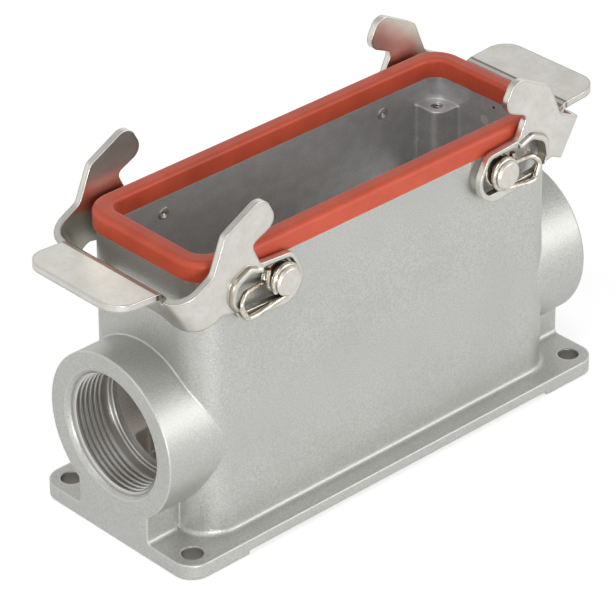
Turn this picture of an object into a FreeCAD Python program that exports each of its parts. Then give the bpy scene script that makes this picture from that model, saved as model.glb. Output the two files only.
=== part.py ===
import FreeCAD, Part
import math
import os
import re
import Sketcher

# Housing of a heavy duty rectangular connector, surface mounted, with two side entries
# The frame: origin at the centre of the flange underside, X along the housing, Z up
doc = FreeCAD.newDocument("connector_housing")
sheet = doc.addObject("Spreadsheet::Sheet", "Sizes")

# Driving sizes in millimetres, angles in degrees
sizes = [
    ("cavityHalfX", 55.8),
    ("cavityHalfY", 17.7),
    ("cavityCorner", 4.6),
    ("cavityFloor", 4.0),
    ("wallTop", 3.8),
    ("rimHigh", 75.0),
    ("draftX", 1.0),
    ("draftY", 0.7),
    ("draftCorner", 0.9),
    ("flangeOutX", 10.4),
    ("flangeOutY", 5.8),
    ("flangeThick", 4.0),
    ("flangeCorner", 5.5),
    ("reliefHalfX", 52.0),
    ("reliefDeep", 1.0),
    ("fixInset", 5.5),
    ("fixRadius", 2.75),
    ("tongueInset", 0.7),
    ("tongueThick", 2.4),
    ("tongueHigh", 3.6),
    ("postWideX", 7.2),
    ("postWideY", 8.2),
    ("postCorner", 3.4),
    ("postBelowRim", 6.5),
    ("postFoot", 1.0),
    ("insertInX", 3.8),
    ("insertInY", 4.2),
    ("insertRadius", 1.65),
    ("insertDeep", 14.0),
    ("entryHigh", 29.5),
    ("entryRadius", 16.0),
    ("entryWall", 5.8),
    ("entryDeep", 13.0),
    ("entryStep", 1.4),
    ("entryThrough", 9.3),
    ("entryChamfer", 1.0),
    ("plinthHalfY", 12.5),
    ("blendRadius", 1.2),
    ("pinFromEnd", 22.7),
    ("pinBelowRim", 5.0),
    ("pinRadius", 1.65),
    ("pinFit", 0.02),
    ("pinSeatGap", 0.1),
    ("pinNeck", 2.9),
    ("pinHead", 3.75),
    ("pinHeadGap", 1.55),
    ("pinHeadThick", 0.95),
    ("pinChamfer", 0.5),
    ("pinFlare", 0.3),
    ("pinDish", 0.5),
    ("gasketOver", 0.5),
    ("gasketCornerOut", 8.0),
    ("gasketCornerIn", 4.6),
    ("gasketTall", 5.2),
    ("gasketGap", 0.3),
    ("gasketRoundOut", 1.7),
    ("gasketRoundIn", 1.1),
    ("sheetThick", 1.8),
    ("cheekGap", 1.5),
    ("webGap", 1.8),
    ("webLevel", 12.6),
    ("webLean", 3.0),
    ("bendInner", 4.6),
    ("leverTilt", 27.5),
    ("playLeft", 0.0),
    ("playRight", 1.5),
    ("yokeFoot", 10.0),
    ("hookX", 6.3),
    ("hookLow", 15.3),
    ("leverTop", 24.4),
    ("webTop", 18.0),
    ("webLow", 6.9),
    ("bowTop", 8.8),
    ("lobeLow", 5.9),
    ("lobeInset", 7.4),
    ("lipHigh", 1.15),
    ("lipRound", 0.9),
    ("tabInset", 6.0),
    ("slotWide", 1.3),
    ("slotLow", 16.4),
    ("tabTipX", 36.84),
    ("tabTipZ", 26.25),
    ("tabAngle", 58.7),
    ("tabCorner", 6.0),
    ("tabBend", 1.4),
    ("wireRadius", 0.75),
    ("wireFit", 0.1),
    ("wireSink", 0.58),
    ("wirePitch", 1.555),
    ("wireLift", 0.09),
    ("legReach", 13.55),
    ("legRise", 6.3),
]

# Sizes that follow from the driving ones
derived = {
    "rimHalfX": "cavityHalfX + wallTop",
    "rimHalfY": "cavityHalfY + wallTop",
    "rimCorner": "cavityCorner + wallTop",
    "footHalfX": "rimHalfX + draftX",
    "footHalfY": "rimHalfY + draftY",
    "footCorner": "rimCorner + draftCorner",
    "flangeHalfX": "footHalfX + flangeOutX",
    "flangeHalfY": "footHalfY + flangeOutY",
    "fixX": "flangeHalfX - fixInset",
    "fixY": "flangeHalfY - fixInset",
    "tongueHalfX": "rimHalfX - tongueInset",
    "tongueHalfY": "rimHalfY - tongueInset",
    "tongueCorner": "rimCorner - tongueInset",
    "postInX": "cavityHalfX - postWideX",
    "postInY": "cavityHalfY - postWideY",
    "postTop": "rimHigh - postBelowRim",
    "insertX": "cavityHalfX - insertInX",
    "insertY": "cavityHalfY - insertInY",
    "entryOuter": "entryRadius + entryWall",
    "entryInner": "entryRadius - entryStep",
    "entryInnerEnd": "cavityHalfX - entryThrough",
    "pinX": "rimHalfX - pinFromEnd",
    "pinHigh": "rimHigh - pinBelowRim",
    "pinSeat": "rimHalfY + pinSeatGap",
    "pinHeadBack": "cheekInner + sheetThick + pinHeadGap",
    "pinFace": "pinHeadBack + pinHeadThick",
    "pinInner": "cavityHalfY - pinFlare",
    "cheekInner": "rimHalfY + cheekGap",
    "webInner": "pinFromEnd + webGap",
    "lobeY": "cheekInner - lobeInset",
    "tabHalf": "cheekInner - tabInset",
    "wireWrap": "pinNeck + wireFit + wireRadius",
    "wireLow": "cheekInner - wireSink",
    "wireMiddle": "wireLow + wirePitch",
    "wireTop": "wireMiddle + wirePitch",
    "wireOver": "wireTop + wireLift",
}
for row, (alias, number) in enumerate(sizes, start=1):
    sheet.set("A%d" % row, alias)
    sheet.set("B%d" % row, str(number))
    sheet.setAlias("B%d" % row, alias)
doc.recompute()


aliases = [alias for alias, number in sizes]


def spell(text, front):
    # opens up the names that follow from others and puts a word in front of each sheet name
    def swap(found):
        word = found.group(0)
        if word in derived:
            return "(" + spell(derived[word], front) + ")"
        return front + word if word in aliases else word
    return re.sub("[A-Za-z]+", swap, text)


def value(text):
    return float(sheet.evalExpression(spell(text, "")))


def full(text):
    return spell(text, "Sizes.")


def plane_of(body, role):
    for feature in body.Origin.OriginFeatures:
        if feature.Role == role:
            return feature
    raise RuntimeError(role)


def sketch_on(body, name, role, offset="0"):
    sketch = body.newObject("Sketcher::SketchObject", name)
    sketch.AttachmentSupport = [(plane_of(body, role), "")]
    sketch.MapMode = "FlatFace"
    if offset != "0":
        sketch.setExpression("AttachmentOffset.Base.z", full(offset))
    sketch.recompute()
    return sketch


def bind(sketch, kind, args, text):
    sketch.addConstraint(Sketcher.Constraint(kind, *args, value(text)))
    sketch.setExpression("Constraints[%d]" % (sketch.ConstraintCount - 1), full(text))


def circle(sketch, x, y, r):
    middle = FreeCAD.Vector(value(x), value(y), 0)
    geo = sketch.addGeometry(Part.Circle(middle, FreeCAD.Vector(0, 0, 1), value(r)))
    bind(sketch, "Radius", (geo,), r)
    bind(sketch, "DistanceX", (-1, 1, geo, 3), x)
    bind(sketch, "DistanceY", (-1, 1, geo, 3), y)


def outline(sketch, corners):
    # closed outline from its corners (x, y, radius); a round corner is an arc tangent to both sides
    count = len(corners)
    points = [FreeCAD.Vector(value(x), value(y), 0) for x, y, r in corners]
    radii = [value(r) if r else 0.0 for x, y, r in corners]
    enter = []
    leave = []
    arcs = []
    for i in range(count):
        here = points[i]
        back = (points[i - 1] - here).normalize()
        ahead = (points[(i + 1) % count] - here).normalize()
        if radii[i] > 0:
            half = back.getAngle(ahead) / 2
            reach = radii[i] / math.tan(half)
            enter.append(here + back * reach)
            leave.append(here + ahead * reach)
            centre = here + (back + ahead).normalize() * (radii[i] / math.sin(half))
            turn = (here - points[i - 1]).cross(points[(i + 1) % count] - here).z
            first = enter[i] - centre
            last = leave[i] - centre
            a = math.atan2(first.y, first.x)
            b = math.atan2(last.y, last.x)
            if turn < 0:
                a, b = b, a
            arcs.append((centre, a, b, turn > 0))
        else:
            enter.append(here)
            leave.append(here)
            arcs.append(None)
    lines = []
    for i in range(count):
        lines.append(sketch.addGeometry(Part.LineSegment(leave[i], enter[(i + 1) % count])))
    fixed = []
    for i in range(count):
        x, y, r = corners[i]
        before = lines[i - 1]
        after = lines[i]
        if arcs[i]:
            centre, a, b, left = arcs[i]
            base = Part.Circle(centre, FreeCAD.Vector(0, 0, 1), radii[i])
            arc = sketch.addGeometry(Part.ArcOfCircle(base, a, b))
            head, tail = (1, 2) if left else (2, 1)
            mark = sketch.addGeometry(Part.Point(points[i]), True)
            fixed.append(Sketcher.Constraint("Tangent", before, 2, arc, head))
            fixed.append(Sketcher.Constraint("Tangent", arc, tail, after, 1))
            fixed.append(Sketcher.Constraint("PointOnObject", mark, 1, before))
            fixed.append(Sketcher.Constraint("PointOnObject", mark, 1, after))
            sketch.addConstraint(fixed)
            fixed = []
            bind(sketch, "Radius", (arc,), r)
            bind(sketch, "DistanceX", (-1, 1, mark, 1), x)
            bind(sketch, "DistanceY", (-1, 1, mark, 1), y)
        else:
            sketch.addConstraint(Sketcher.Constraint("Coincident", before, 2, after, 1))
            bind(sketch, "DistanceX", (-1, 1, after, 1), x)
            bind(sketch, "DistanceY", (-1, 1, after, 1), y)


def box_outline(sketch, half_x, half_y, r):
    outline(sketch, [
        (half_x, half_y, r),
        ("-(" + half_x + ")", half_y, r),
        ("-(" + half_x + ")", "-(" + half_y + ")", r),
        (half_x, "-(" + half_y + ")", r),
    ])


def sound(feature):
    # a feature that fails is stopped here, with its name
    if "Invalid" in feature.State or "Error" in feature.State or feature.Shape.isNull():
        raise RuntimeError(feature.Name + " fails")
    return feature


def pad(body, name, sketch, length, both=False, back=False):
    feature = body.newObject("PartDesign::Pad", name)
    feature.Profile = sketch
    feature.Length = value(length)
    feature.setExpression("Length", full(length))
    feature.Midplane = both
    feature.Reversed = back
    sketch.Visibility = False
    doc.recompute()
    return sound(feature)


def pocket(body, name, sketch, length, both=False, back=False):
    before = body.Shape.Volume
    feature = body.newObject("PartDesign::Pocket", name)
    feature.Profile = sketch
    feature.Length = value(length)
    feature.setExpression("Length", full(length))
    feature.Midplane = both
    feature.Reversed = back
    sketch.Visibility = False
    doc.recompute()
    if not body.Shape.Volume < before - 0.01:
        raise RuntimeError(name + " removes nothing")
    return sound(feature)


def soften(body, name, kind, length, chosen):
    base = body.Tip
    names = []
    for index, edge in enumerate(base.Shape.Edges, start=1):
        if chosen(edge):
            names.append("Edge%d" % index)
    if not names:
        raise RuntimeError(name + " finds no edge")
    feature = body.newObject("PartDesign::" + kind, name)
    feature.Base = (base, names)
    if kind == "Fillet":
        feature.Radius = value(length)
        feature.setExpression("Radius", full(length))
    else:
        feature.Size = value(length)
        feature.setExpression("Size", full(length))
    doc.recompute()
    return sound(feature)


def near(a, b):
    return abs(a - b) < 1e-4


def new_body(name):
    body = doc.addObject("PartDesign::Body", name)
    body.Label = name
    return body


# HOUSING
# One aluminium die casting: flange, hollow body, two threaded entry bosses, four insert posts
housing = new_body("housing")
sk = sketch_on(housing, "FlangeSketch", "XY_Plane")
box_outline(sk, "flangeHalfX", "flangeHalfY", "flangeCorner")
pad(housing, "Flange", sk, "flangeThick")

sk_foot = sketch_on(housing, "FootSketch", "XY_Plane", "flangeThick")
box_outline(sk_foot, "footHalfX", "footHalfY", "footCorner")
sk_rim = sketch_on(housing, "RimSketch", "XY_Plane", "rimHigh")
box_outline(sk_rim, "rimHalfX", "rimHalfY", "rimCorner")
loft = housing.newObject("PartDesign::AdditiveLoft", "DraftedBody")
loft.Profile = sk_foot
loft.Sections = [(sk_rim, [""])]
loft.Ruled = True
sk_foot.Visibility = False
sk_rim.Visibility = False
doc.recompute()

sk = sketch_on(housing, "EntryBossSketch", "YZ_Plane")
circle(sk, "0", "entryHigh", "entryOuter")
pad(housing, "EntryBosses", sk, "2 * flangeHalfX", both=True)
sk = sketch_on(housing, "PlinthSketch", "YZ_Plane")
outline(sk, [
    ("plinthHalfY", "flangeThick / 2", None),
    ("plinthHalfY", "entryHigh", None),
    ("-plinthHalfY", "entryHigh", None),
    ("-plinthHalfY", "flangeThick / 2", None),
])
pad(housing, "Plinths", sk, "2 * flangeHalfX", both=True)


def foot_edge(edge):
    # the inner corner between the flange and what stands on it
    box = edge.BoundBox
    level = near(box.ZMin, value("flangeThick")) and near(box.ZMax, value("flangeThick"))
    return level and max(abs(box.YMin), abs(box.YMax)) < value("footHalfY") + 0.1


soften(housing, "FootBlend", "Fillet", "blendRadius", foot_edge)

sk = sketch_on(housing, "TongueSketch", "XY_Plane", "rimHigh")
box_outline(sk, "tongueHalfX", "tongueHalfY", "tongueCorner")
pad(housing, "Tongue", sk, "tongueHigh")
sk = sketch_on(housing, "TongueHollowSketch", "XY_Plane", "rimHigh")
box_outline(sk, "tongueHalfX - tongueThick", "tongueHalfY - tongueThick", "tongueCorner - tongueThick")
pocket(housing, "TongueHollow", sk, "tongueHigh + 1", back=True)
sk = sketch_on(housing, "CavitySketch", "XY_Plane", "cavityFloor")
box_outline(sk, "cavityHalfX", "cavityHalfY", "cavityCorner")
pocket(housing, "Cavity", sk, "rimHigh + 1 - cavityFloor", back=True)

sk = sketch_on(housing, "PostSketch", "XY_Plane", "cavityFloor - 0.5")
for sx in ("", "-"):
    for sy in ("", "-"):
        ring = [
            (sx + "postInX", sy + "postInY", "postCorner"),
            (sx + "(cavityHalfX + 1)", sy + "postInY", None),
            (sx + "(cavityHalfX + 1)", sy + "(cavityHalfY + 1)", None),
            (sx + "postInX", sy + "(cavityHalfY + 1)", None),
        ]
        outline(sk, ring)
pad(housing, "InsertPosts", sk, "postTop - cavityFloor + 0.5")


def post_edge(edge):
    # upright inner corners where the posts meet the cavity walls
    box = edge.BoundBox
    upright = box.ZLength > 20 and box.XLength < 1e-3 and box.YLength < 1e-3
    side = near(abs(box.XMin), value("cavityHalfX")) and near(abs(box.YMin), value("postInY"))
    front = near(abs(box.XMin), value("postInX")) and near(abs(box.YMin), value("cavityHalfY"))
    return upright and (side or front)


soften(housing, "PostBlends", "Fillet", "postFoot", post_edge)
sk = sketch_on(housing, "InsertScrewSketch", "XY_Plane", "postTop")
for sx in ("", "-"):
    for sy in ("", "-"):
        circle(sk, sx + "insertX", sy + "insertY", "insertRadius")
pocket(housing, "InsertScrewHoles", sk, "insertDeep")

sk = sketch_on(housing, "FixSketch", "XY_Plane")
for sx in ("", "-"):
    for sy in ("", "-"):
        circle(sk, sx + "fixX", sy + "fixY", "fixRadius")
pocket(housing, "FixHoles", sk, "flangeThick + 2", both=False, back=True)
sk = sketch_on(housing, "ReliefSketch", "XY_Plane")
outline(sk, [
    ("reliefHalfX", "flangeHalfY + 1", None),
    ("-reliefHalfX", "flangeHalfY + 1", None),
    ("-reliefHalfX", "-(flangeHalfY + 1)", None),
    ("reliefHalfX", "-(flangeHalfY + 1)", None),
])
pocket(housing, "Relief", sk, "reliefDeep", back=True)

# each entry bore is threaded near its mouth, then steps down and opens into the cavity
for name, sign, turned in (("Right", "", False), ("Left", "-", True)):
    sk = sketch_on(housing, "Bore" + name + "Sketch", "YZ_Plane", sign + "flangeHalfX")
    circle(sk, "0", "entryHigh", "entryRadius")
    pocket(housing, "Bore" + name, sk, "entryDeep", back=turned)
    sk = sketch_on(housing, "Step" + name + "Sketch", "YZ_Plane", sign + "flangeHalfX")
    circle(sk, "0", "entryHigh", "entryInner")
    pocket(housing, "Step" + name, sk, "flangeHalfX - entryInnerEnd", back=turned)
soften(housing, "EntryMouths", "Chamfer", "entryChamfer",
       lambda e: near(abs(e.BoundBox.XMin), value("flangeHalfX")) and e.BoundBox.XLength < 1e-3
       and near(e.BoundBox.YMax, value("entryRadius")))
sk = sketch_on(housing, "PinHoleSketch", "XZ_Plane")
circle(sk, "pinX", "pinHigh", "pinRadius")
circle(sk, "-pinX", "pinHigh", "pinRadius")
pocket(housing, "PinHoles", sk, "2 * footHalfY + 4", both=True)

# RIM GASKET
# Soft channel pushed over the rim tongue, its underside on the casting shoulder
gasket = new_body("rim_gasket")
sk = sketch_on(gasket, "RingSketch", "XY_Plane")
box_outline(sk, "rimHalfX + gasketOver", "rimHalfY + gasketOver", "gasketCornerOut")
box_outline(sk, "cavityHalfX - gasketOver", "cavityHalfY - gasketOver", "gasketCornerIn")
pad(gasket, "Ring", sk, "gasketTall")
sk = sketch_on(gasket, "GrooveSketch", "XY_Plane")
box_outline(sk, "tongueHalfX + gasketGap", "tongueHalfY + gasketGap", "tongueCorner + gasketGap")
box_outline(sk, "tongueHalfX - tongueThick - gasketGap", "tongueHalfY - tongueThick - gasketGap",
            "tongueCorner - tongueThick - gasketGap")
pocket(gasket, "Groove", sk, "tongueHigh + gasketGap", back=True)


def crown_edge(edge, outer):
    box = edge.BoundBox
    top = near(box.ZMin, value("gasketTall")) and near(box.ZMax, value("gasketTall"))
    limit = (value("rimHalfX") + value("cavityHalfX")) / 2
    wide = (value("rimHalfY") + value("cavityHalfY")) / 2
    far = max(abs(box.XMin), abs(box.XMax)) > limit or max(abs(box.YMin), abs(box.YMax)) > wide
    return top and far == outer


soften(gasket, "CrownOut", "Fillet", "gasketRoundOut", lambda e: crown_edge(e, True))
soften(gasket, "CrownIn", "Fillet", "gasketRoundIn", lambda e: crown_edge(e, False))
gasket.Placement = FreeCAD.Placement(FreeCAD.Vector(0, 0, value("rimHigh")), FreeCAD.Rotation())


# PIVOT PINS
# Four turned shoulder pins, pressed through the long walls and flared inside
def make_pin(name, sign_x, sign_y):
    pin = new_body(name)
    sketch = sketch_on(pin, name + "_sketch", "XZ_Plane")
    outline(sketch, [
        ("0", "pinInner - pinSeat + pinDish", None),
        ("pinRadius - pinFit - 0.5", "pinInner - pinSeat", None),
        ("pinRadius - pinFit", "pinInner - pinSeat", None),
        ("pinRadius - pinFit", "0", None),
        ("pinNeck", "0", None),
        ("pinNeck", "pinHeadBack - pinSeat", None),
        ("pinHead", "pinHeadBack - pinSeat", None),
        ("pinHead", "pinFace - pinSeat - pinChamfer", None),
        ("pinHead - pinChamfer", "pinFace - pinSeat", None),
        ("0", "pinFace - pinSeat", None),
    ])
    turned = pin.newObject("PartDesign::Revolution", name + "_turned")
    turned.Profile = sketch
    turned.ReferenceAxis = (sketch, ["V_Axis"])
    turned.Angle = 360
    doc.recompute()
    middle = FreeCAD.Vector(sign_x * value("pinX"), sign_y * value("pinSeat"), value("pinHigh"))
    pin.Placement = FreeCAD.Placement(middle, FreeCAD.Rotation(FreeCAD.Vector(1, 0, 0), -90 * sign_y))
    return pin


pins = [
    make_pin("pin_left_front", -1, -1),
    make_pin("pin_left_back", -1, 1),
    make_pin("pin_right_front", 1, -1),
    make_pin("pin_right_back", 1, 1),
]


# LOCKING LEVERS
# Stainless sheet bent to a yoke: two hooked cheeks, a web round the housing end, a thumb tab.
# Drawn upright about its pin line: x towards the housing middle, z up, then tilted outwards.
# The windows are wider than the pins, so a lever may sit a little inwards of its pin line
def lever_play(side):
    return value("playLeft") if side < 0 else value("playRight")


def lever_place(side):
    tilt = FreeCAD.Rotation(FreeCAD.Vector(0, 1, 0), -value("leverTilt"))
    turn = FreeCAD.Rotation(FreeCAD.Vector(0, 0, 1), 0 if side < 0 else 180)
    where = FreeCAD.Vector(side * (value("pinX") - lever_play(side)), 0, value("pinHigh"))
    return FreeCAD.Placement(where, turn.multiply(tilt))


def make_lever(name, side):
    lever = new_body(name)
    sketch = sketch_on(lever, name + "_plan", "XY_Plane", "-yokeFoot")
    outer = "(cheekInner + sheetThick)"
    inner_web = "-(webInner - (webLevel + yokeFoot) * tan(webLean))"
    outer_web = "(" + inner_web + " - sheetThick)"
    outline(sketch, [
        ("hookX + 6", outer, None),
        (outer_web, outer, "bendInner + sheetThick"),
        (outer_web, "-" + outer, "bendInner + sheetThick"),
        ("hookX + 6", "-" + outer, None),
        ("hookX + 6", "-cheekInner", None),
        (inner_web, "-cheekInner", "bendInner"),
        (inner_web, "cheekInner", "bendInner"),
        ("hookX + 6", "cheekInner", None),
    ])
    yoke = pad(lever, name + "_yoke", sketch, "leverTop + yokeFoot + 2")
    # the web leans out a little, so the yoke is drawn along a leaning line
    yoke.UseCustomVector = True
    yoke.Direction = FreeCAD.Vector(-math.tan(math.radians(value("webLean"))), 0, 1)
    yoke.AlongSketchNormal = True
    doc.recompute()
    sound(yoke)

    sketch = sketch_on(lever, name + "_side", "XZ_Plane")
    outline(sketch, [
        ("hookX", "hookLow", "3.2"),
        ("hookX", "leverTop", "3.4"),
        ("-7.6", "leverTop", "3"),
        ("-15.2", "webTop", "3"),
        ("-40", "webTop", None),
        ("-40", "lobeLow - 1", None),
        ("-webInner + 1.5", "lobeLow - 1", None),
        ("-webInner + 1.5", "webLow", None),
        ("-18.2", "webLow", "2"),
        ("-14.9", "4.2", "1"),
        ("-14.9", "0.8", "3"),
        ("-2.4", "-7.25", "5"),
        ("5.8", "-7.25", "6"),
        ("5.8", "3.8", "3"),
        ("-3.1", "9.3", "1.5"),
        ("-2.8", "15.85", "1.5"),
    ])
    outline(sketch, [
        ("30", "50", None),
        ("-50", "50", None),
        ("-50", "-30", None),
        ("30", "-30", None),
    ])
    pocket(lever, name + "_profile", sketch, "3 * cheekInner", both=True)

    sketch = sketch_on(lever, name + "_lip_sketch", "XZ_Plane", "cheekInner + sheetThick / 2")
    outline(sketch, [
        ("-3", "8.6", None),
        ("-6.2", "12.2", "2.5"),
        ("-12.4", "12.5", "4"),
        ("-15.6", "8", "3"),
        ("-15.2", "4.6", None),
        ("-12", "5", None),
        ("-4", "7", None),
    ])
    lip = pad(lever, name + "_lip", sketch, "sheetThick / 2 + lipHigh")
    crest = "cheekInner + sheetThick + lipHigh"
    soften(lever, name + "_lip_round", "Fillet", "lipRound",
           lambda e: near(e.BoundBox.YMin, -value(crest)) and near(e.BoundBox.YMax, -value(crest)))
    rounded = lever.Tip
    copy = lever.newObject("PartDesign::Mirrored", name + "_lips")
    copy.Originals = [lip, rounded]
    copy.MirrorPlane = (plane_of(lever, "XZ_Plane"), [""])
    lever.Tip = copy
    doc.recompute()

    sketch = sketch_on(lever, name + "_window_sketch", "XZ_Plane")
    outline(sketch, [
        ("4.75", "-5.6", "4.2"),
        ("4.75", "3.1", "2.2"),
        ("-2.3", "7.35", "1.5"),
        ("-3.8", "7.5", "0.8"),
        ("-6.6", "10.6", "2.2"),
        ("-11.6", "10.6", "3"),
        ("-14.4", "7.2", "2.2"),
        ("-14.4", "3.1", "2"),
        ("0.1", "-5.6", "1.2"),
    ])
    pocket(lever, name + "_windows", sketch, "3 * cheekInner", both=True)

    sketch = sketch_on(lever, name + "_bow_sketch", "YZ_Plane", "-webInner - 6")
    outline(sketch, [
        ("-30", "-5", None),
        ("30", "-5", None),
        ("30", "webLow", None),
        ("lobeY + 4", "webLow", "2"),
        ("lobeY + 1.4", "lobeLow", "1.6"),
        ("lobeY - 1.2", "lobeLow", "1.6"),
        ("lobeY - 4", "bowTop", "3"),
        ("4 - lobeY", "bowTop", "3"),
        ("1.2 - lobeY", "lobeLow", "1.6"),
        ("-lobeY - 1.4", "lobeLow", "1.6"),
        ("-lobeY - 4", "webLow", "2"),
        ("-30", "webLow", None),
    ])
    pocket(lever, name + "_bow", sketch, "6 + 2.2", back=True)
    sketch = sketch_on(lever, name + "_slot_sketch", "YZ_Plane", "-webInner - 6")
    outline(sketch, [
        ("tabHalf + slotWide", "slotLow", "0.6"),
        ("tabHalf + slotWide", "webTop + 3", None),
        ("-tabHalf - slotWide", "webTop + 3", None),
        ("-tabHalf - slotWide", "slotLow", "0.6"),
    ])
    pocket(lever, name + "_slots", sketch, "6 + 4", back=True)

    # thumb tab: carries on from the web between the slots and folds outwards
    sketch = sketch_on(lever, name + "_tab_sketch", "XZ_Plane")
    low = "slotLow - 1.5"
    face_low = "-(webInner + (" + low + " - webLevel) * tan(webLean))"
    run = ("((tabTipX - webInner + (webLevel - tabTipZ) * tan(webLean))"
           " / (sin(tabAngle) - cos(tabAngle) * tan(webLean)))")
    fold_x = "-tabTipX + sin(tabAngle) * " + run
    fold_z = "tabTipZ - cos(tabAngle) * " + run
    half_fold = "((tabAngle - webLean) / 2)"
    skin = "sheetThick"
    outline(sketch, [
        (face_low, low, None),
        (fold_x, fold_z, "tabBend + " + skin),
        ("-tabTipX", "tabTipZ", None),
        ("-tabTipX - " + skin + " * cos(tabAngle)", "tabTipZ - " + skin + " * sin(tabAngle)", None),
        (fold_x + " - " + skin + " * cos(tabAngle - " + half_fold + ") / cos(" + half_fold + ")",
         fold_z + " - " + skin + " * sin(tabAngle - " + half_fold + ") / cos(" + half_fold + ")", "tabBend"),
        (face_low + " - " + skin + " / cos(webLean)", low, None),
    ])
    pad(lever, name + "_tab", sketch, "2 * tabHalf", both=True)
    tip_x = value("-tabTipX - sheetThick * cos(tabAngle)")
    soften(lever, name + "_tab_corners", "Fillet", "tabCorner",
           lambda e: near(e.BoundBox.XMin, tip_x) and e.BoundBox.YLength < 1e-3
           and e.BoundBox.XLength < value("sheetThick"))
    lever.Placement = lever_place(side)
    return lever


levers = [make_lever("lever_left", -1), make_lever("lever_right", 1)]


# LEVER SPRINGS
# Round wire hairpins: both ends coil round a pin neck, the bend rides on the cheek rim
def wire_route(points, bends):
    # straight wire between the points, bent to an arc at each one
    pieces = []
    last = points[0]
    for index in range(1, len(points) - 1):
        here = points[index]
        back = (points[index - 1] - here).normalize()
        ahead = (points[index + 1] - here).normalize()
        half = back.getAngle(ahead) / 2
        reach = bends[index] / math.tan(half)
        crown = bends[index] / math.sin(half) - bends[index]
        enter = here + back * reach
        leave = here + ahead * reach
        pieces.append(Part.LineSegment(last, enter).toShape())
        pieces.append(Part.Arc(enter, here + (back + ahead).normalize() * crown, leave).toShape())
        last = leave
    pieces.append(Part.LineSegment(last, points[-1]).toShape())
    return Part.Wire(pieces)


def make_spring(name, side, sign_y):
    tilt = math.radians(value("leverTilt"))
    pin_x = -lever_play(side) * math.cos(tilt)
    pin_z = lever_play(side) * math.sin(tilt)
    low = value("wireLow")
    middle = value("wireMiddle")
    top = value("wireTop")
    over = value("wireOver")
    points = []
    bends = []

    def corner(x, z, layer, bend):
        points.append(FreeCAD.Vector(x, sign_y * layer, z))
        bends.append(bend)

    def leg(x, z, layer, bend, share):
        # x and z are shares of the leg's reach and rise, bend counts wire radii,
        # and share tells how much of the lever's play the corner takes up
        across = x * value("legReach") + share * pin_x
        corner(across, z * value("legRise") + share * pin_z, layer, bend * value("wireRadius"))

    def coil(first, step, count, layers):
        # corners round the pin neck, outside the wire's circle by the length of a half step
        outside = value("wireWrap") / math.cos(math.radians(step / 2))
        for index in range(count):
            angle = math.radians(first + step * (index + 0.5))
            corner(pin_x + outside * math.cos(angle), pin_z + outside * math.sin(angle),
                   layers(index / (count - 1)), 0.96 * value("wireWrap"))

    leg(-0.133, 0.84, middle + 0.1, 0, 1)
    coil(140, 46, 8, lambda share: middle + (low - middle) * min(1, max(0, 1.6 * share - 0.1)))
    leg(-0.29, 0.32, low + 0.2, 1.2, 1)
    leg(-0.465, 0.57, middle - 0.6, 5.3, 0.6)
    leg(-0.753, 1.0, top - 0.9, 2.9, 0)
    leg(-0.98, 0.84, top - 0.2, 2.4, 0)
    leg(-1.0, 0.08, over, 2.7, 0)
    leg(-0.8, -0.12, over, 2.7, 0)
    leg(-0.19, -0.56, over, 4, 0.9)
    coil(-100, 48, 6, lambda share: top)
    leg(-0.274, -0.08, top, 0, 1)
    spine = wire_route(points, bends)
    ring = Part.Circle(points[0], (points[1] - points[0]).normalize(), value("wireRadius"))
    spring = doc.addObject("Part::Feature", name)
    spring.Label = name
    spring.Shape = spine.makePipe(Part.Face(Part.Wire([ring.toShape()])))
    spring.Placement = lever_place(side)
    return spring


springs = [
    make_spring("spring_left_front", -1, -1),
    make_spring("spring_left_back", -1, 1),
    make_spring("spring_right_front", 1, 1),
    make_spring("spring_right_back", 1, -1),
]

# every piece is checked, then written to its own file
doc.recompute()
for item in doc.Objects:
    if "Invalid" in item.State or "Error" in item.State:
        raise RuntimeError(item.Name + " is not valid")
pieces = [housing, gasket] + pins + levers + springs
os.makedirs("parts", exist_ok=True)
for piece in pieces:
    shape = piece.Shape
    if shape.isNull() or not shape.isValid() or len(shape.Solids) != 1:
        raise RuntimeError(piece.Label + " has no sound solid")
    shape.exportStep("parts/" + piece.Label + ".step")
    print(piece.Label, round(shape.Volume, 1), shape.BoundBox)
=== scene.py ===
import math

import bpy
from mathutils import Matrix, Vector


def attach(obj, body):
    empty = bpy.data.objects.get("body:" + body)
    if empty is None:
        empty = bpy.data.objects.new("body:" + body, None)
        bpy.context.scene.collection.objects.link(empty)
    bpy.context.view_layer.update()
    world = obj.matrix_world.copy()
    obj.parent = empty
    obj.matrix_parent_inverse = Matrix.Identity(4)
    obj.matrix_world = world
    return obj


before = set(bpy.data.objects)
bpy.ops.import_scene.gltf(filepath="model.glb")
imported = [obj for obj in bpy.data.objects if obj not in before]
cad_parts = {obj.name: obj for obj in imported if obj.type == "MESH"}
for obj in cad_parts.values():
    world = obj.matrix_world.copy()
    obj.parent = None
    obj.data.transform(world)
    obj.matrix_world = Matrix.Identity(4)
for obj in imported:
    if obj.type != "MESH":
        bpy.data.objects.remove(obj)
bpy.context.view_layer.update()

# CAST HOUSING
# One aluminium die casting, barrel finished to a fine even grain and left light grey.
# Inside the box it keeps the smoother skin of the mould, painted lighter than the outside as painted
# light in the cavity. Its two entries are bored out.
CAST_GREY = (0.615, 0.62, 0.59, 1.0)
CAST_PIT = (0.49, 0.495, 0.47, 1.0)
CAST_SHADE = (0.47, 0.475, 0.45, 1.0)
CAST_GRAIN = 2600.0
CAST_CLOUD = 45.0
CAST_EDGE = 0.0009
PIT_RANGE = (0.36, 0.64)
CLOUD_RANGE = (0.45, 0.7)
CLOUD_SHARE = 0.35
EDGE_SHARE = 0.55
RIM_SHARE = 0.8
RIM_LINE = 0.0746
# a bright metal colour, for cut metal and for painted highlights
CUT_METAL_AND_HIGHLIGHT = (0.80, 0.80, 0.78, 1.0)
BORE_METAL = (0.42, 0.405, 0.38, 1.0)

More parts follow.
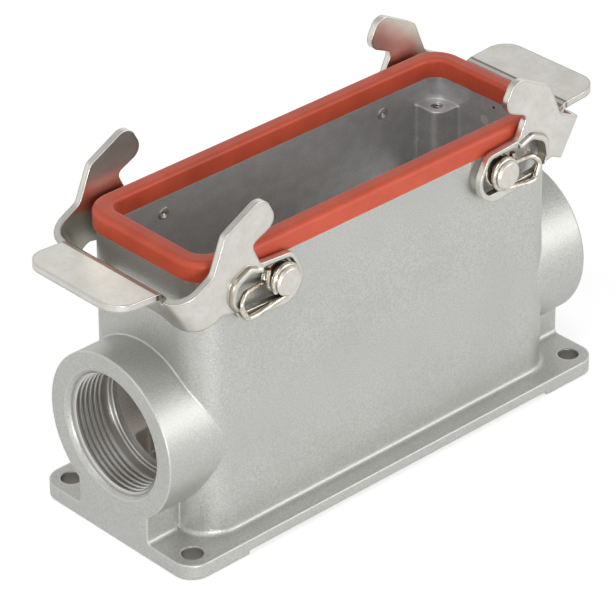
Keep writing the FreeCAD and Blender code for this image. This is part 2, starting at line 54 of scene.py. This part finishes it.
CAVITY_HALF_X = 0.0562
CAVITY_HALF_Y = 0.0181
CAVITY_FLOOR = 0.0035
MOULD_SKIN = (0.68, 0.69, 0.71, 1.0)
MOULD_PALE = (0.84, 0.85, 0.86, 1.0)
MOULD_WARM = (0.82, 0.77, 0.71, 1.0)
MOULD_LINES = (240.0, 240.0, 330.0)
LINE_RANGE = (0.3, 0.72)
WARM_RANGE = (0.052, 0.036)
SKIN_PITS = 0.4
SKIN_EDGES = 0.9

MARK_BLACK = (0.02, 0.02, 0.02, 1.0)
MARK_PALE = (0.95, 0.94, 0.93, 1.0)
MARK_SHARE = 0.95
MARK_WALL = 0.0550
MARK_DISC = (0.0001, 0.0680, 0.0014)
MARK_DOT = (-0.0031, 0.0728, 0.0004)

HOLE_PAINTED_SHADE = (0.36, 0.345, 0.315, 1.0)
FIXING_X = 0.0655
FIXING_Y = 0.0225
FIXING_RADIUS = 0.00282
FLANGE_TOP = 0.006

ENTRY_HEIGHT = 0.0295
ENTRY_CUT_RADIUS = 0.0173
ENTRY_CUT_START = 0.0572
ENTRY_CUT_END = 0.0700
THREAD_ROOTS = 0.0604

CAST_ROUGH = 0.36
PIT_ROUGH = 0.12
CUT_POLISH = 0.04
CAST_RELIEF = 0.5
SMOOTHING = 0.47
SKIN_SMOOTH = 0.7


def join(tree, kind, sockets, **settings):
    """Adds one shader node; a socket takes a value or another node's output."""
    node = tree.nodes.new(kind)
    for name, setting in settings.items():
        setattr(node, name, setting)
    for name, content in sockets.items():
        if isinstance(content, bpy.types.NodeSocket):
            tree.links.new(content, node.inputs[name])
        else:
            node.inputs[name].default_value = content
    return node


def sums(tree, operation, first, second=0.0):
    """Adds one sum on two numbers and gives its result."""
    return join(tree, "ShaderNodeMath", {0: first, 1: second}, operation=operation).outputs[0]


def product(tree, *masks):
    """Multiplies masks, so that only what lies in all of them stays."""
    result = masks[0]
    for mask in masks[1:]:
        result = sums(tree, "MULTIPLY", result, mask)
    return result


def between(tree, number, least, most):
    """A mask that is 1 where a number lies between two limits."""
    return product(tree, sums(tree, "GREATER_THAN", number, least),
                   sums(tree, "LESS_THAN", number, most))


def squares(tree, first, second):
    """The squares of two distances, added."""
    return sums(tree, "ADD", sums(tree, "MULTIPLY", first, first),
                sums(tree, "MULTIPLY", second, second))


def mixed(tree, share, first, second):
    """Blends two colours by a share from 0 to 1."""
    node = join(tree, "ShaderNodeMix", {"Factor": share}, data_type="RGBA")
    for socket, content in ((node.inputs[6], first), (node.inputs[7], second)):
        if isinstance(content, bpy.types.NodeSocket):
            tree.links.new(content, socket)
        else:
            socket.default_value = content
    return node.outputs[2]


def tinted(tree, mask, share, colour, tint):
    """Blends a share of a tint into a colour where a mask is 1."""
    return mixed(tree, sums(tree, "MULTIPLY", mask, share), colour, tint)


def stepped(tree, share, low, high):
    """Spreads a share so that low gives 0 and high gives 1."""
    node = join(tree, "ShaderNodeMapRange", {"Value": share, "From Min": low, "From Max": high})
    return node.outputs["Result"]


def noise(tree, place, scale, detail=2.0):
    """A soft random pattern from 0 to 1, finer with a larger scale."""
    sockets = {"Vector": place, "Scale": scale, "Detail": detail}
    return join(tree, "ShaderNodeTexNoise", sockets).outputs["Fac"]


def parts_of(tree, place):
    """The X, Y and Z of a place or a direction."""
    return join(tree, "ShaderNodeSeparateXYZ", {"Vector": place}).outputs


def new_finish(name, metallic, roughness=0.5):
    """A material with its shader, and the place of each point on the piece."""
    finish = bpy.data.materials.new(name)
    finish.use_nodes = True
    tree = finish.node_tree
    shader = tree.nodes["Principled BSDF"]
    shader.inputs["Metallic"].default_value = metallic
    shader.inputs["Roughness"].default_value = roughness
    place = join(tree, "ShaderNodeTexCoord", {}).outputs["Object"]
    return finish, tree, shader, place


def rounded_edges(tree, radius, least=0.005, full=0.12):
    """The rounded normal of an edge, and a mask that is 1 along the edge."""
    rounded = join(tree, "ShaderNodeBevel", {"Radius": radius}, samples=8).outputs["Normal"]
    flat = join(tree, "ShaderNodeNewGeometry", {}).outputs["Normal"]
    along = join(tree, "ShaderNodeVectorMath", {0: rounded, 1: flat}, operation="DOT_PRODUCT")
    turned = sums(tree, "SUBTRACT", 1.0, along.outputs["Value"])
    return rounded, stepped(tree, turned, least, full)


def emboss(tree, shader, height, strength, distance, normal=None):
    """Gives the surface a fine relief, over its own or a rounded normal."""
    sockets = {"Height": height, "Strength": strength, "Distance": distance}
    if normal is not None:
        sockets["Normal"] = normal
    relief = join(tree, "ShaderNodeBump", sockets)
    tree.links.new(relief.outputs["Normal"], shader.inputs["Normal"])


def dress(node, finish):
    """Gives a CAD piece its finish."""
    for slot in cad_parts[node].material_slots:
        slot.material = finish


def wall_mark(tree, axes, mark):
    """A round mark that an ejector left on the right end wall of the box."""
    row, height, radius = mark
    spread = squares(tree, sums(tree, "SUBTRACT", axes["Y"], row),
                     sums(tree, "SUBTRACT", axes["Z"], height))
    return product(tree, sums(tree, "LESS_THAN", spread, radius ** 2),
                   sums(tree, "GREATER_THAN", axes["X"], MARK_WALL))


def mould_skin(tree, place, axes, pits, edge):
    """The colour of the mould's skin, painted lighter as light in the cavity, with faint drawn lines, a
    painted highlight on its edges and the ejector marks.
    """
    drawn = join(tree, "ShaderNodeMapping", {"Vector": place, "Scale": MOULD_LINES}).outputs["Vector"]
    lines = stepped(tree, noise(tree, drawn, scale=1.0, detail=5.0), *LINE_RANGE)
    skin = mixed(tree, lines, MOULD_SKIN, MOULD_PALE)
    skin = mixed(tree, stepped(tree, axes["Z"], *WARM_RANGE), skin, MOULD_WARM)
    skin = tinted(tree, pits, SKIN_PITS, skin, CAST_SHADE)
    skin = tinted(tree, edge, SKIN_EDGES, skin, CUT_METAL_AND_HIGHLIGHT)
    skin = tinted(tree, wall_mark(tree, axes, MARK_DISC), MARK_SHARE, skin, MARK_PALE)
    return mixed(tree, wall_mark(tree, axes, MARK_DOT), skin, MARK_BLACK)


def fixing_hole(tree, axes, across, deep):
    """A mask of the walls of the fixing holes, painted dark as the shade inside them."""
    spread = squares(tree, sums(tree, "SUBTRACT", across, FIXING_X),
                     sums(tree, "SUBTRACT", deep, FIXING_Y))
    return product(tree, sums(tree, "LESS_THAN", spread, FIXING_RADIUS ** 2),
                   sums(tree, "LESS_THAN", axes["Z"], FLANGE_TOP))


def entry_cut(tree, axes, across):
    """A mask of the walls that were bored out in the entries."""
    spread = squares(tree, axes["Y"], sums(tree, "SUBTRACT", axes["Z"], ENTRY_HEIGHT))
    return product(tree, sums(tree, "LESS_THAN", spread, ENTRY_CUT_RADIUS ** 2),
                   between(tree, across, ENTRY_CUT_START, ENTRY_CUT_END))


def casting():
    """The finish of the casting, outside, inside, in its holes and in its entries."""
    finish, tree, shader, place = new_finish("blasted_casting", metallic=0.8)
    axes = parts_of(tree, place)
    across = sums(tree, "ABSOLUTE", axes["X"])
    deep = sums(tree, "ABSOLUTE", axes["Y"])
    grain = noise(tree, place, CAST_GRAIN)
    pits = stepped(tree, grain, *PIT_RANGE)
    cloud = stepped(tree, noise(tree, place, CAST_CLOUD, detail=4.0), *CLOUD_RANGE)
    rounded, edge = rounded_edges(tree, CAST_EDGE)
    # The edges are worn bright and also carry a painted highlight; above the rim line, just under the
    # gasket, a painted highlight line.
    rim = sums(tree, "GREATER_THAN", axes["Z"], RIM_LINE)
    edge = sums(tree, "MAXIMUM", sums(tree, "MULTIPLY", edge, EDGE_SHARE),
                sums(tree, "MULTIPLY", rim, RIM_SHARE))

    colour = mixed(tree, pits, CAST_PIT, CAST_GREY)
    colour = tinted(tree, cloud, CLOUD_SHARE, colour, CAST_SHADE)
    colour = mixed(tree, edge, colour, CUT_METAL_AND_HIGHLIGHT)
    inside = product(tree, sums(tree, "LESS_THAN", across, CAVITY_HALF_X),
                     sums(tree, "LESS_THAN", deep, CAVITY_HALF_Y),
                     sums(tree, "GREATER_THAN", axes["Z"], CAVITY_FLOOR))
    colour = mixed(tree, inside, colour, mould_skin(tree, place, axes, pits, edge))
    colour = mixed(tree, fixing_hole(tree, axes, across, deep), colour, HOLE_PAINTED_SHADE)
    # Where bored, the thread's root walls and the edges are painted bright as highlight lines; the rest
    # of the bore keeps the darker bore metal.
    cut = entry_cut(tree, axes, across)
    bright = sums(tree, "MAXIMUM", edge, sums(tree, "GREATER_THAN", across, THREAD_ROOTS))
    colour = mixed(tree, cut, colour, mixed(tree, bright, BORE_METAL, CUT_METAL_AND_HIGHLIGHT))
    tree.links.new(colour, shader.inputs["Base Color"])

    rough = sums(tree, "ADD", sums(tree, "MULTIPLY", pits, PIT_ROUGH), CAST_ROUGH)
    rough = sums(tree, "SUBTRACT", rough, sums(tree, "MULTIPLY", cut, CUT_POLISH))
    tree.links.new(rough, shader.inputs["Roughness"])
    smooth = sums(tree, "MAXIMUM", cut, sums(tree, "MULTIPLY", inside, SKIN_SMOOTH))
    depth = sums(tree, "SUBTRACT", CAST_RELIEF, sums(tree, "MULTIPLY", smooth, SMOOTHING))
    emboss(tree, shader, grain, depth, distance=0.00012, normal=rounded)
    return finish


dress("housing", casting())

# THREADS
# The entries carry a fine metric thread for the cable glands, the posts one for the insert's
# corner screws. Both are cut in the casting; the crests stand inwards from the bore walls.
ENTRY_RADIUS = 0.016
ENTRY_PITCH = 0.0015
ENTRY_CREST = 0.00081
ENTRY_MOUTH = 0.0700
ENTRY_FOOT = 0.0601
ENTRY_STEPS = 64
POST_X = 0.052
POST_Y = 0.0135
POST_TOP = 0.0682
POST_FOOT = 0.0570
SCREW_RADIUS = 0.00165
SCREW_PITCH = 0.0007
SCREW_CREST = 0.00022
SCREW_STEPS = 24
# the corners of a ridge, as shares of its pitch and of its crest
RIDGE = ((-0.40, -0.02), (-0.12, 1.0), (0.12, 1.0), (0.40, -0.02))
RUN_IN = 12.0
TURNED_GRAIN = 2600.0
TURNED_SHARE = 0.5
FLANK_FOOT = 0.1
FLANK_TOP = 0.9


def cut_metal():
    """The finish of the ridges, with a painted highlight on the crests and painted shade on the flanks.
    """
    finish, tree, shader, place = new_finish("cut_aluminium", metallic=0.85, roughness=0.3)
    turning = noise(tree, place, TURNED_GRAIN)
    axes = parts_of(tree, place)
    radius = sums(tree, "SQRT", squares(tree, axes["Y"], sums(tree, "SUBTRACT", axes["Z"], ENTRY_HEIGHT)))
    crest = stepped(tree, radius, ENTRY_RADIUS - FLANK_FOOT * ENTRY_CREST,
                    ENTRY_RADIUS - FLANK_TOP * ENTRY_CREST)
    colour = mixed(tree, crest, BORE_METAL, CUT_METAL_AND_HIGHLIGHT)
    colour = tinted(tree, turning, TURNED_SHARE, colour, BORE_METAL)
    tree.links.new(colour, shader.inputs["Base Color"])
    emboss(tree, shader, turning, strength=0.2, distance=0.0001)
    return finish


def cut_thread(name, mouth, way, length, radius, pitch, crest, steps, finish):
    """A ridge that winds along a bore, from its mouth inwards."""
    way = Vector(way)
    side = way.orthogonal().normalized()
    up = way.cross(side)
    count = int(length / pitch * steps)
    points = []
    faces = []
    for index in range(count + 1):
        angle = 2 * math.pi * index / steps
        outward = side * math.cos(angle) + up * math.sin(angle)
        run_in = min(1.0, index / RUN_IN, (count - index) / RUN_IN)
        for along, height in RIDGE:
            depth = max(0.0, pitch * (index / steps + along))
            rise = min(crest * height * (run_in if height > 0 else 1.0), depth)
            points.append(Vector(mouth) + way * depth + outward * (radius - rise))
        if index:
            first = 4 * (index - 1)
            for corner in range(4):
                far = (corner + 1) % 4
                faces.append((first + corner, first + far, first + far + 4, first + corner + 4))
    faces.append((0, 3, 2, 1))
    faces.append((4 * count, 4 * count + 1, 4 * count + 2, 4 * count + 3))
    mesh = bpy.data.meshes.new(name)
    mesh.from_pydata([tuple(point) for point in points], [], faces)
    mesh.materials.append(finish)
    ridge = bpy.data.objects.new(name, mesh)
    bpy.context.scene.collection.objects.link(ridge)
    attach(ridge, "base")


cut_aluminium = cut_metal()
for side_name, sign in (("left", -1), ("right", 1)):
    cut_thread("entry_thread_" + side_name, (sign * ENTRY_MOUTH, 0, ENTRY_HEIGHT), (-sign, 0, 0),
               ENTRY_MOUTH - ENTRY_FOOT, ENTRY_RADIUS, ENTRY_PITCH, ENTRY_CREST, ENTRY_STEPS,
               cut_aluminium)
    for row_name, row in (("front", -1), ("back", 1)):
        cut_thread("post_thread_" + side_name + "_" + row_name,
                   (sign * POST_X, row * POST_Y, POST_TOP), (0, 0, -1), POST_TOP - POST_FOOT,
                   SCREW_RADIUS, SCREW_PITCH, SCREW_CREST, SCREW_STEPS, cut_aluminium)

# RIM GASKET
# A soft moulded ring of coloured rubber, pushed over the tongue of the rim.
# It has a faint moulded grain, a little dust and a slightly cloudy skin.
SEAL_RED = (0.62, 0.088, 0.038, 1.0)
SEAL_DEEP = (0.54, 0.066, 0.027, 1.0)
SEAL_DUST = (0.62, 0.30, 0.24, 1.0)
SEAL_CLOUD = 120.0
SEAL_GRAIN = 2200.0
SEAL_RANGE = (0.3, 0.7)
DUST_RANGE = (0.6, 0.78)
DUST_SHARE = 0.18


def roughened(tree, shader, pattern, extent, least):
    """Lets the roughness rise by an extent with a pattern."""
    rough = sums(tree, "ADD", sums(tree, "MULTIPLY", pattern, extent), least)
    tree.links.new(rough, shader.inputs["Roughness"])


def seal_rubber():
    """The finish of the gasket."""
    finish, tree, shader, place = new_finish("seal_rubber", metallic=0.0)
    cloud = stepped(tree, noise(tree, place, SEAL_CLOUD, detail=4.0), *SEAL_RANGE)
    grain = noise(tree, place, SEAL_GRAIN)
    colour = mixed(tree, cloud, SEAL_DEEP, SEAL_RED)
    colour = tinted(tree, stepped(tree, grain, *DUST_RANGE), DUST_SHARE, colour, SEAL_DUST)
    tree.links.new(colour, shader.inputs["Base Color"])
    shader.inputs["Sheen Weight"].default_value = 0.06
    shader.inputs["Sheen Roughness"].default_value = 0.4
    roughened(tree, shader, grain, extent=0.16, least=0.36)
    emboss(tree, shader, grain, strength=0.12, distance=0.0002)
    return finish


dress("rim_gasket", seal_rubber())

# PIVOT PINS
# Four turned steel shoulder pins, pressed through the long walls and flared on the inside.
# Their flat heads show fine rings from the tool. Their edges carry a painted highlight, and their corners
# and gaps painted shade.
PIN_X = 0.0369
PIN_HEIGHT = 0.070
PIN_CLOUD = 700.0
PIN_ROUNDING = 0.0003
RING_PITCH = 0.00022
PIN_SHADE = (0.66, 0.63, 0.57, 1.0)
PIN_PALE = (0.86, 0.83, 0.77, 1.0)
PIN_HIGHLIGHT = (0.92, 0.90, 0.86, 1.0)
PIN_PAINTED_SHADE = (0.22, 0.17, 0.11, 1.0)
PIN_EDGE_SHARE = 0.5
PIN_DARK_SHARE = 0.8
PIN_NOOK = 0.003


def nooks(tree, reach, least=0.3, full=0.85):
    """A mask that is 1 deep in corners and gaps, where shade is painted."""
    open_share = join(tree, "ShaderNodeAmbientOcclusion", {"Distance": reach}, samples=8).outputs["AO"]
    return stepped(tree, sums(tree, "SUBTRACT", 1.0, open_share), least, full)


def turned_steel():
    """The finish of the pins, with the tool's rings round each axis."""
    finish, tree, shader, place = new_finish("turned_steel", metallic=1.0)
    axes = parts_of(tree, place)
    away = sums(tree, "SUBTRACT", sums(tree, "ABSOLUTE", axes["X"]), PIN_X)
    rise = sums(tree, "SUBTRACT", axes["Z"], PIN_HEIGHT)
    radius = sums(tree, "SQRT", squares(tree, away, rise))
    rings = sums(tree, "SINE", sums(tree, "MULTIPLY", radius, 2 * math.pi / RING_PITCH))
    cloud = noise(tree, place, PIN_CLOUD, detail=3.0)
    rounded, edge = rounded_edges(tree, PIN_ROUNDING)
    colour = mixed(tree, cloud, PIN_SHADE, PIN_PALE)
    colour = tinted(tree, edge, PIN_EDGE_SHARE, colour, PIN_HIGHLIGHT)
    colour = tinted(tree, nooks(tree, PIN_NOOK), PIN_DARK_SHARE, colour, PIN_PAINTED_SHADE)
    tree.links.new(colour, shader.inputs["Base Color"])
    roughened(tree, shader, cloud, extent=0.2, least=0.2)
    emboss(tree, shader, rings, strength=0.08, distance=0.00005, normal=rounded)
    return finish


pin_steel = turned_steel()
for side_name in ("left", "right"):
    for row_name in ("front", "back"):
        dress("pin_" + side_name + "_" + row_name, pin_steel)

# LOCKING LEVERS
# Stainless sheet, stamped, bent to a yoke and tumbled. Its edges carry a painted highlight with a painted
# dark reflection just beside them.
# The faces keep a faint mill grain, small handling marks and a warm tint.
SHEET_PALE = (0.80, 0.785, 0.74, 1.0)
SHEET_WARM = (0.70, 0.675, 0.61, 1.0)
SHEET_HIGHLIGHT = (0.93, 0.915, 0.87, 1.0)
SHEET_SHADE = (0.62, 0.60, 0.56, 1.0)
SHEET_DARK_REFLECTION = (0.20, 0.18, 0.14, 1.0)
SHEET_PAINTED_SHADE = (0.30, 0.25, 0.18, 1.0)
SHEET_CLOUD = 160.0
SHEET_GRAIN = 3200.0
SHEET_MARKS = 800.0
SHEET_ROUNDING = 0.00045
SHEET_RANGE = (0.32, 0.68)
MARK_RANGE = (0.5, 0.7)
MARKED_SHARE = 0.35
# a painted dark reflection just beside the edges, and a painted highlight on them
BESIDE_EDGE = 0.0011
BESIDE_SHARE = 0.4
SHINE_SHARE = 0.6
NOOK_REACH = 0.004
NOOK_SHARE = 0.7

# the window walls, painted dark as shade
WINDOW_NEAR = 0.0455
WINDOW_FAR = 0.0565
WINDOW_LOW = 0.0630
WINDOW_HIGH = 0.0785
WINDOW_SHARE = 0.7
# how squarely a face looks along the pins: the cheeks' faces do, the window's walls don't
WALL_FACING = (0.985, 0.85)

# dark lines painted along the bend between web and tab, as a painted reflection
BEND_X = 0.06958
BEND_PLAY = 0.0015
BEND_HALF_Y = 0.0172
BEND_LOW = 0.0738
BEND_START = -0.0002
BEND_WIDE = 0.0030
BEND_LINES = 0.0016
BEND_RANGE = (-0.3, 0.5)
BEND_SHARE = 0.85


def window_wall(tree, place):
    """A mask of the window walls beside the spring loops, where shade is painted."""
    axes = parts_of(tree, place)
    across = sums(tree, "ABSOLUTE", axes["X"])
    normal = join(tree, "ShaderNodeNewGeometry", {}).outputs["Normal"]
    facing = sums(tree, "ABSOLUTE", parts_of(tree, normal)["Y"])
    return product(tree, stepped(tree, facing, *WALL_FACING),
                   between(tree, across, WINDOW_NEAR, WINDOW_FAR),
                   between(tree, axes["Z"], WINDOW_LOW, WINDOW_HIGH))


def bend_lines(tree, place):
    """A mask of the dark lines along the bend between web and tab, a painted reflection."""
    axes = parts_of(tree, place)
    play = sums(tree, "MULTIPLY", sums(tree, "GREATER_THAN", axes["X"], 0.0), BEND_PLAY)
    inward = sums(tree, "SUBTRACT", sums(tree, "SUBTRACT", BEND_X, play),
                  sums(tree, "ABSOLUTE", axes["X"]))
    wave = sums(tree, "SINE", sums(tree, "MULTIPLY", inward, 2 * math.pi / BEND_LINES))
    return product(tree, between(tree, inward, BEND_START, BEND_WIDE),
                   sums(tree, "GREATER_THAN", axes["Z"], BEND_LOW),
                   sums(tree, "LESS_THAN", sums(tree, "ABSOLUTE", axes["Y"]), BEND_HALF_Y),
                   stepped(tree, wave, *BEND_RANGE))


def lever_steel():
    """The finish of the levers: a painted highlight on the edges, painted dark reflection beside them and
    along the bend, and painted shade in the nooks and on the window walls.
    """
    finish, tree, shader, place = new_finish("tumbled_stainless", metallic=1.0)
    cloud = noise(tree, place, SHEET_CLOUD, detail=4.0)
    grain = noise(tree, place, SHEET_GRAIN)
    marks = stepped(tree, noise(tree, place, SHEET_MARKS, detail=3.0), *MARK_RANGE)
    rounded, edge = rounded_edges(tree, SHEET_ROUNDING)
    beside = rounded_edges(tree, BESIDE_EDGE)[1]
    colour = mixed(tree, stepped(tree, cloud, *SHEET_RANGE), SHEET_WARM, SHEET_PALE)
    colour = tinted(tree, marks, MARKED_SHARE, colour, SHEET_SHADE)
    colour = tinted(tree, beside, BESIDE_SHARE, colour, SHEET_DARK_REFLECTION)
    colour = tinted(tree, bend_lines(tree, place), BEND_SHARE, colour, SHEET_DARK_REFLECTION)
    colour = tinted(tree, edge, SHINE_SHARE, colour, SHEET_HIGHLIGHT)
    colour = tinted(tree, nooks(tree, NOOK_REACH), NOOK_SHARE, colour, SHEET_PAINTED_SHADE)
    colour = tinted(tree, window_wall(tree, place), WINDOW_SHARE, colour, SHEET_PAINTED_SHADE)
    tree.links.new(colour, shader.inputs["Base Color"])
    roughened(tree, shader, cloud, extent=0.12, least=0.25)
    emboss(tree, shader, grain, strength=0.05, distance=0.0001, normal=rounded)
    return finish


tumbled_stainless = lever_steel()
dress("lever_left", tumbled_stainless)
dress("lever_right", tumbled_stainless)

# LEVER SPRINGS
# One spring of bright drawn steel wire in each lever window, coiled round the pin's neck.
# The wire is a little uneven and is painted darker, as shade, where it lies close to the pin.
WIRE_PALE = (0.80, 0.76, 0.67, 1.0)
WIRE_SHADE = (0.56, 0.51, 0.43, 1.0)
WIRE_PAINTED_SHADE = (0.18, 0.13, 0.08, 1.0)
WIRE_CLOUD = 900.0
WIRE_RANGE = (0.35, 0.62)
WIRE_NOOK = 0.003
WIRE_DARK_SHARE = 0.85


def drawn_wire():
    """The finish of the springs."""
    finish, tree, shader, place = new_finish("drawn_wire", metallic=1.0)
    cloud = noise(tree, place, WIRE_CLOUD, detail=4.0)
    colour = mixed(tree, stepped(tree, cloud, *WIRE_RANGE), WIRE_SHADE, WIRE_PALE)
    colour = tinted(tree, nooks(tree, WIRE_NOOK), WIRE_DARK_SHARE, colour, WIRE_PAINTED_SHADE)
    tree.links.new(colour, shader.inputs["Base Color"])
    roughened(tree, shader, cloud, extent=0.2, least=0.14)
    emboss(tree, shader, cloud, strength=0.08, distance=0.0001)
    return finish


spring_wire = drawn_wire()
for side_name in ("left", "right"):
    for row_name in ("front", "back"):
        dress("spring_" + side_name + "_" + row_name, spring_wire)

# FLOOR AND LIGHT
# A plain pale floor that runs out to white, two soft lamps at the front and one above
# on the left. The sky is pale all round and greyer overhead.
FLOOR_SIZE = 8.0
FLOOR_DROP = 0.0004
FLOOR_GREY = (0.80, 0.80, 0.80, 1.0)
FLOOR_SHADE = (0.79, 0.79, 0.79, 1.0)
FLOOR_GRAIN = 30.0
FLOOR_GLOW = 0.55
FLOOR_SHEEN = 0.30
SKY_LOW = (1.0, 1.0, 1.0, 1.0)
SKY_HIGH = (0.34, 0.34, 0.345, 1.0)
SKY_RANGE = (0.35, 0.95)
SKY_LEVEL = 0.74
# each lamp's name, place, aim, width, height and power
LAMPS = (("lamp_front_right", (0.85, -1.3, 0.5), (0, 0, 0.03), 1.0, 0.8, 5.0),
         ("lamp_front_left", (-0.8, -1.3, 0.12), (-0.03, 0, 0.04), 0.25, 0.4, 9.0),
         ("lamp_top_left", (-0.75, -0.1, 1.3), (0, 0, 0.05), 0.8, 0.8, 4.0))


def lay_floor():
    """The floor shines towards the lens and in the metal, and keeps the part's shadow."""
    half = FLOOR_SIZE / 2
    corners = [(-half, -half, -FLOOR_DROP), (half, -half, -FLOOR_DROP),
               (half, half, -FLOOR_DROP), (-half, half, -FLOOR_DROP)]
    mesh = bpy.data.meshes.new("floor")
    mesh.from_pydata(corners, [], [(0, 1, 2, 3)])
    floor = bpy.data.objects.new("floor", mesh)
    bpy.context.scene.collection.objects.link(floor)
    finish, tree, shader, place = new_finish("floor_paper", metallic=0.0, roughness=0.9)
    colour = mixed(tree, noise(tree, place, FLOOR_GRAIN), FLOOR_SHADE, FLOOR_GREY)
    tree.links.new(colour, shader.inputs["Base Color"])
    path = join(tree, "ShaderNodeLightPath", {}).outputs
    seen = sums(tree, "MAXIMUM", path["Is Camera Ray"], path["Is Transmission Ray"])
    glow = sums(tree, "ADD", sums(tree, "MULTIPLY", seen, FLOOR_GLOW),
                sums(tree, "MULTIPLY", path["Is Glossy Ray"], FLOOR_SHEEN))
    glow = join(tree, "ShaderNodeEmission", {"Color": (1.0, 1.0, 1.0, 1.0), "Strength": glow})
    both = join(tree, "ShaderNodeAddShader", {0: shader.outputs[0], 1: glow.outputs[0]})
    tree.links.new(both.outputs[0], tree.nodes["Material Output"].inputs["Surface"])
    mesh.materials.append(finish)


def set_sky():
    """The sky looks white and lights the part a little less than it shows."""
    world = bpy.data.worlds.new("studio")
    world.use_nodes = True
    tree = world.node_tree
    way = join(tree, "ShaderNodeTexCoord", {}).outputs["Generated"]
    shades = mixed(tree, stepped(tree, parts_of(tree, way)["Z"], *SKY_RANGE), SKY_LOW, SKY_HIGH)
    plain = join(tree, "ShaderNodeBackground", {"Color": shades, "Strength": SKY_LEVEL})
    white = join(tree, "ShaderNodeBackground", {"Color": shades, "Strength": 1.0})
    path = join(tree, "ShaderNodeLightPath", {}).outputs
    seen = sums(tree, "MAXIMUM", path["Is Camera Ray"], path["Is Glossy Ray"])
    seen = sums(tree, "MAXIMUM", seen, path["Is Transmission Ray"])
    both = join(tree, "ShaderNodeMixShader", {0: seen, 1: plain.outputs[0], 2: white.outputs[0]})
    tree.links.new(both.outputs[0], tree.nodes["World Output"].inputs["Surface"])
    bpy.context.scene.world = world


def hang_lamp(name, place, aim, width, height, power):
    """A flat soft lamp that faces its aim."""
    lamp = bpy.data.lights.new(name, "AREA")
    lamp.shape = "RECTANGLE"
    lamp.size = width
    lamp.size_y = height
    lamp.energy = power
    holder = bpy.data.objects.new(name, lamp)
    holder.location = place
    holder.rotation_euler = (Vector(aim) - Vector(place)).to_track_quat("-Z", "Y").to_euler()
    bpy.context.scene.collection.objects.link(holder)


lay_floor()
set_sky()
for lamp in LAMPS:
    hang_lamp(*lamp)

# CAMERA
# The photograph's place and lens, worked out from the sizes of the real part.
# The lens looks a little off the middle of the frame, and the shift makes up for it.
EYE = (-0.547137, -0.581984, 0.518358)
TURN = (1.993, -0.792, 0.438)
LENS = 218.7
SENSOR_WIDTH = 36.0
CLIP_START = 0.01
FRAME_WIDE = 615
FRAME_MIDDLE = (307.5, 300.0)
LENS_MIDDLE = (305.21, 303.63)


def set_camera():
    """Puts the camera where the photograph was taken from."""
    view = bpy.data.cameras.new("camera")
    view.sensor_fit = "HORIZONTAL"
    view.sensor_width = SENSOR_WIDTH
    view.lens = LENS
    view.clip_start = CLIP_START
    view.shift_x = (FRAME_MIDDLE[0] - LENS_MIDDLE[0]) / FRAME_WIDE
    view.shift_y = (LENS_MIDDLE[1] - FRAME_MIDDLE[1]) / FRAME_WIDE
    camera = bpy.data.objects.new("camera", view)
    turn = Vector(TURN)
    to_lens = Matrix.Rotation(turn.length, 3, turn.normalized())
    flip = Matrix(((1, 0, 0), (0, -1, 0), (0, 0, -1)))
    camera.matrix_world = Matrix.Translation(EYE) @ (to_lens.transposed() @ flip).to_4x4()
    bpy.context.scene.collection.objects.link(camera)
    bpy.context.scene.camera = camera


set_camera()
bpy.context.scene.view_settings.view_transform = "Standard"
